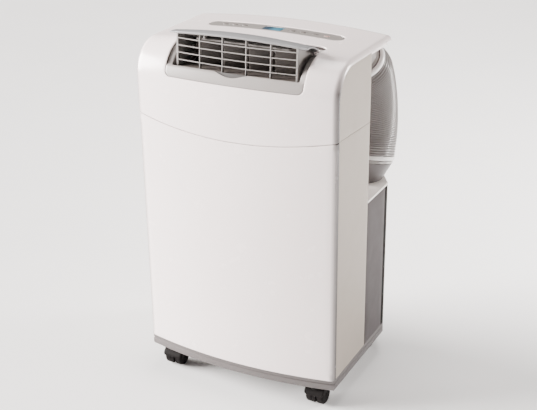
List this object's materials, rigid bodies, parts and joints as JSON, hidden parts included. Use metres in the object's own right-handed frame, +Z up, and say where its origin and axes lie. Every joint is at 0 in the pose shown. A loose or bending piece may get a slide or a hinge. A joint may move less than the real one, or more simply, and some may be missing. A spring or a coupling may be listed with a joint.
{
  "type": "portable air conditioner",
  "caption": "Wheeled portable air conditioner with a flip-up louvred outlet, a top control strip and an exhaust hose stored upright behind it.",
  "frame": {"origin": "on the floor under the middle of the outer box", "axes": "+Z up, -Y towards the front with the air outlet, +X to the right as seen from the front"},
  "size_m": [0.46, 0.408, 0.8049],
  "materials": {
    "white_gloss": "moulded ABS, glossy off-white",
    "silver_grey": "moulded ABS, satin silver-grey",
    "housing_grey": "moulded plastic, satin warm grey",
    "dark_grille": "moulded plastic, dark brown-grey",
    "caster_black": "nylon, black",
    "rubber": "soft black rubber",
    "lcd": "clear window over a blue display",
    "foam": "expanded polystyrene",
    "fins": "thin aluminium fins",
    "copper": "bare copper tube",
    "steel": "black-grey painted steel",
    "board": "printed circuit board",
    "filter_mesh": "dark grey moulded plastic"
  },
  "bodies": {
    "cabinet": {"upper_cover": "white_gloss", "front_panel": "white_gloss", "side_upper_left": "white_gloss", "side_upper_right": "white_gloss", "side_lower_left": "white_gloss", "side_lower_right": "white_gloss", "base_tray": "housing_grey", "lower_housing": "housing_grey", "rear_cover": "dark_grille", "cord_gland": "rubber", "recess_wall": "white_gloss", "outlet_bezel": "silver_grey", "air_duct": "dark_grille", "control_panel": "silver_grey", "lcd_window": "lcd", "control_board": "board", "exhaust_hose": "white_gloss", "hose_foot_ring": "white_gloss", "hose_adapter": "housing_grey", "hose_collar": "white_gloss", "hose_neck": "housing_grey", "room_fan_scroll": "foam", "exhaust_fan_scroll": "foam", "room_fan_motor": "steel", "exhaust_fan_motor": "steel", "exhaust_duct": "dark_grille", "drip_tray": "foam", "evaporator": "fins", "condenser": "fins", "compressor": "steel", "electronics_box": "housing_grey", "discharge_pipe": "copper", "suction_pipe": "copper", "capillary_tube": "copper"},
    "louver": {"louver_pod": "silver_grey"},
    "link": {"vane_link": "silver_grey"},
    "vane_1": {"vane_1": "housing_grey"},
    "vane_2": {"vane_2": "housing_grey"},
    "vane_3": {"vane_3": "housing_grey"},
    "vane_4": {"vane_4": "housing_grey"},
    "button_1": {"button_1": "silver_grey"},
    "button_2": {"button_2": "silver_grey"},
    "button_3": {"button_3": "silver_grey"},
    "button_4": {"button_4": "silver_grey"},
    "button_5": {"button_5": "silver_grey"},
    "button_6": {"button_6": "silver_grey"},
    "button_7": {"button_7": "silver_grey"},
    "fork_front_left": {"caster_fork_front_left": "caster_black"},
    "wheels_front_left": {"caster_wheels_front_left": "rubber"},
    "fork_front_right": {"caster_fork_front_right": "caster_black"},
    "wheels_front_right": {"caster_wheels_front_right": "rubber"},
    "fork_rear_left": {"caster_fork_rear_left": "caster_black"},
    "wheels_rear_left": {"caster_wheels_rear_left": "rubber"},
    "fork_rear_right": {"caster_fork_rear_right": "caster_black"},
    "wheels_rear_right": {"caster_wheels_rear_right": "rubber"},
    "room_fan": {"room_fan_wheel": "filter_mesh"},
    "exhaust_fan": {"exhaust_fan_wheel": "filter_mesh"},
    "upper_filter": {"upper_filter": "filter_mesh"},
    "lower_filter": {"lower_filter": "filter_mesh"},
    "drain_plug": {"drain_plug": "rubber"}
  },
  "joints": [
    {"name": "louver_tilt", "type": "hinge", "parent": "cabinet", "child": "louver", "pos_m": [0, -0.112, 0.7534], "axis": [1, 0, 0], "range_deg": [0, 52]},
    {"name": "vane_1_turn", "type": "hinge", "parent": "louver", "child": "vane_1", "pos_m": [-0.0736, -0.14, 0.757], "axis": [0, 0, 1], "range_deg": [0, 90]},
    {"name": "vane_2_turn", "type": "hinge", "parent": "louver", "child": "vane_2", "pos_m": [-0.0156, -0.14, 0.757], "axis": [0, 0, 1], "range_deg": [0, 90]},
    {"name": "vane_3_turn", "type": "hinge", "parent": "louver", "child": "vane_3", "pos_m": [0.0424, -0.14, 0.757], "axis": [0, 0, 1], "range_deg": [0, 90]},
    {"name": "vane_4_turn", "type": "hinge", "parent": "louver", "child": "vane_4", "pos_m": [0.1004, -0.14, 0.757], "axis": [0, 0, 1], "range_deg": [0, 90]},
    {"name": "link_slide", "type": "slide", "parent": "louver", "child": "link", "axis": [1, 0, 0], "range_m": [0, 0.0169]},
    {"name": "button_1_press", "type": "slide", "parent": "cabinet", "child": "button_1", "axis": [0, 0, -1], "range_m": [0, 0.001], "stiffness_N_per_m": 400},
    {"name": "button_2_press", "type": "slide", "parent": "cabinet", "child": "button_2", "axis": [0, 0, -1], "range_m": [0, 0.001], "stiffness_N_per_m": 400},
    {"name": "button_3_press", "type": "slide", "parent": "cabinet", "child": "button_3", "axis": [0, 0, -1], "range_m": [0, 0.001], "stiffness_N_per_m": 400},
    {"name": "button_4_press", "type": "slide", "parent": "cabinet", "child": "button_4", "axis": [0, 0, -1], "range_m": [0, 0.001], "stiffness_N_per_m": 400},
    {"name": "button_5_press", "type": "slide", "parent": "cabinet", "child": "button_5", "axis": [0, 0, -1], "range_m": [0, 0.001], "stiffness_N_per_m": 400},
    {"name": "button_6_press", "type": "slide", "parent": "cabinet", "child": "button_6", "axis": [0, 0, -1], "range_m": [0, 0.001], "stiffness_N_per_m": 400},
    {"name": "button_7_press", "type": "slide", "parent": "cabinet", "child": "button_7", "axis": [0, 0, -1], "range_m": [0, 0.001], "stiffness_N_per_m": 400},
    {"name": "swivel_front_left", "type": "hinge", "parent": "cabinet", "child": "fork_front_left", "pos_m": [-0.18, -0.165, 0.05], "axis": [0, 0, 1], "continuous": true},
    {"name": "roll_front_left", "type": "hinge", "parent": "fork_front_left", "child": "wheels_front_left", "pos_m": [-0.18, -0.151, 0.022], "axis": [1, 0, 0], "continuous": true},
    {"name": "swivel_front_right", "type": "hinge", "parent": "cabinet", "child": "fork_front_right", "pos_m": [0.18, -0.165, 0.05], "axis": [0, 0, 1], "continuous": true},
    {"name": "roll_front_right", "type": "hinge", "parent": "fork_front_right", "child": "wheels_front_right", "pos_m": [0.18, -0.151, 0.022], "axis": [1, 0, 0], "continuous": true},
    {"name": "swivel_rear_left", "type": "hinge", "parent": "cabinet", "child": "fork_rear_left", "pos_m": [-0.178, 0.095, 0.05], "axis": [0, 0, 1], "continuous": true},
    {"name": "roll_rear_left", "type": "hinge", "parent": "fork_rear_left", "child": "wheels_rear_left", "pos_m": [-0.178, 0.109, 0.022], "axis": [1, 0, 0], "continuous": true},
    {"name": "swivel_rear_right", "type": "hinge", "parent": "cabinet", "child": "fork_rear_right", "pos_m": [0.178, 0.095, 0.05], "axis": [0, 0, 1], "continuous": true},
    {"name": "roll_rear_right", "type": "hinge", "parent": "fork_rear_right", "child": "wheels_rear_right", "pos_m": [0.178, 0.109, 0.022], "axis": [1, 0, 0], "continuous": true},
    {"name": "room_fan_spin", "type": "hinge", "parent": "cabinet", "child": "room_fan", "pos_m": [0, -0.115, 0.545], "axis": [0, 1, 0], "continuous": true},
    {"name": "exhaust_fan_spin", "type": "hinge", "parent": "cabinet", "child": "exhaust_fan", "pos_m": [0.06, 0.033, 0.215], "axis": [0, 1, 0], "continuous": true},
    {"name": "upper_filter_slide", "type": "slide", "parent": "cabinet", "child": "upper_filter", "axis": [-1, 0, 0], "range_m": [0, 0.28]},
    {"name": "lower_filter_slide", "type": "slide", "parent": "cabinet", "child": "lower_filter", "axis": [0, 0, 1], "range_m": [0, 0.3]},
    {"name": "drain_plug_pull", "type": "slide", "parent": "cabinet", "child": "drain_plug", "axis": [0, 1, 0], "range_m": [0, 0.015]}
  ],
  "couplings": [
    {"joint": "vane_2_turn", "follows": "vane_1_turn", "ratio": 1},
    {"joint": "vane_3_turn", "follows": "vane_1_turn", "ratio": 1},
    {"joint": "vane_4_turn", "follows": "vane_1_turn", "ratio": 1},
    {"joint": "link_slide", "follows": "vane_1_turn", "m_per_rad": 0.01064}
  ]
}
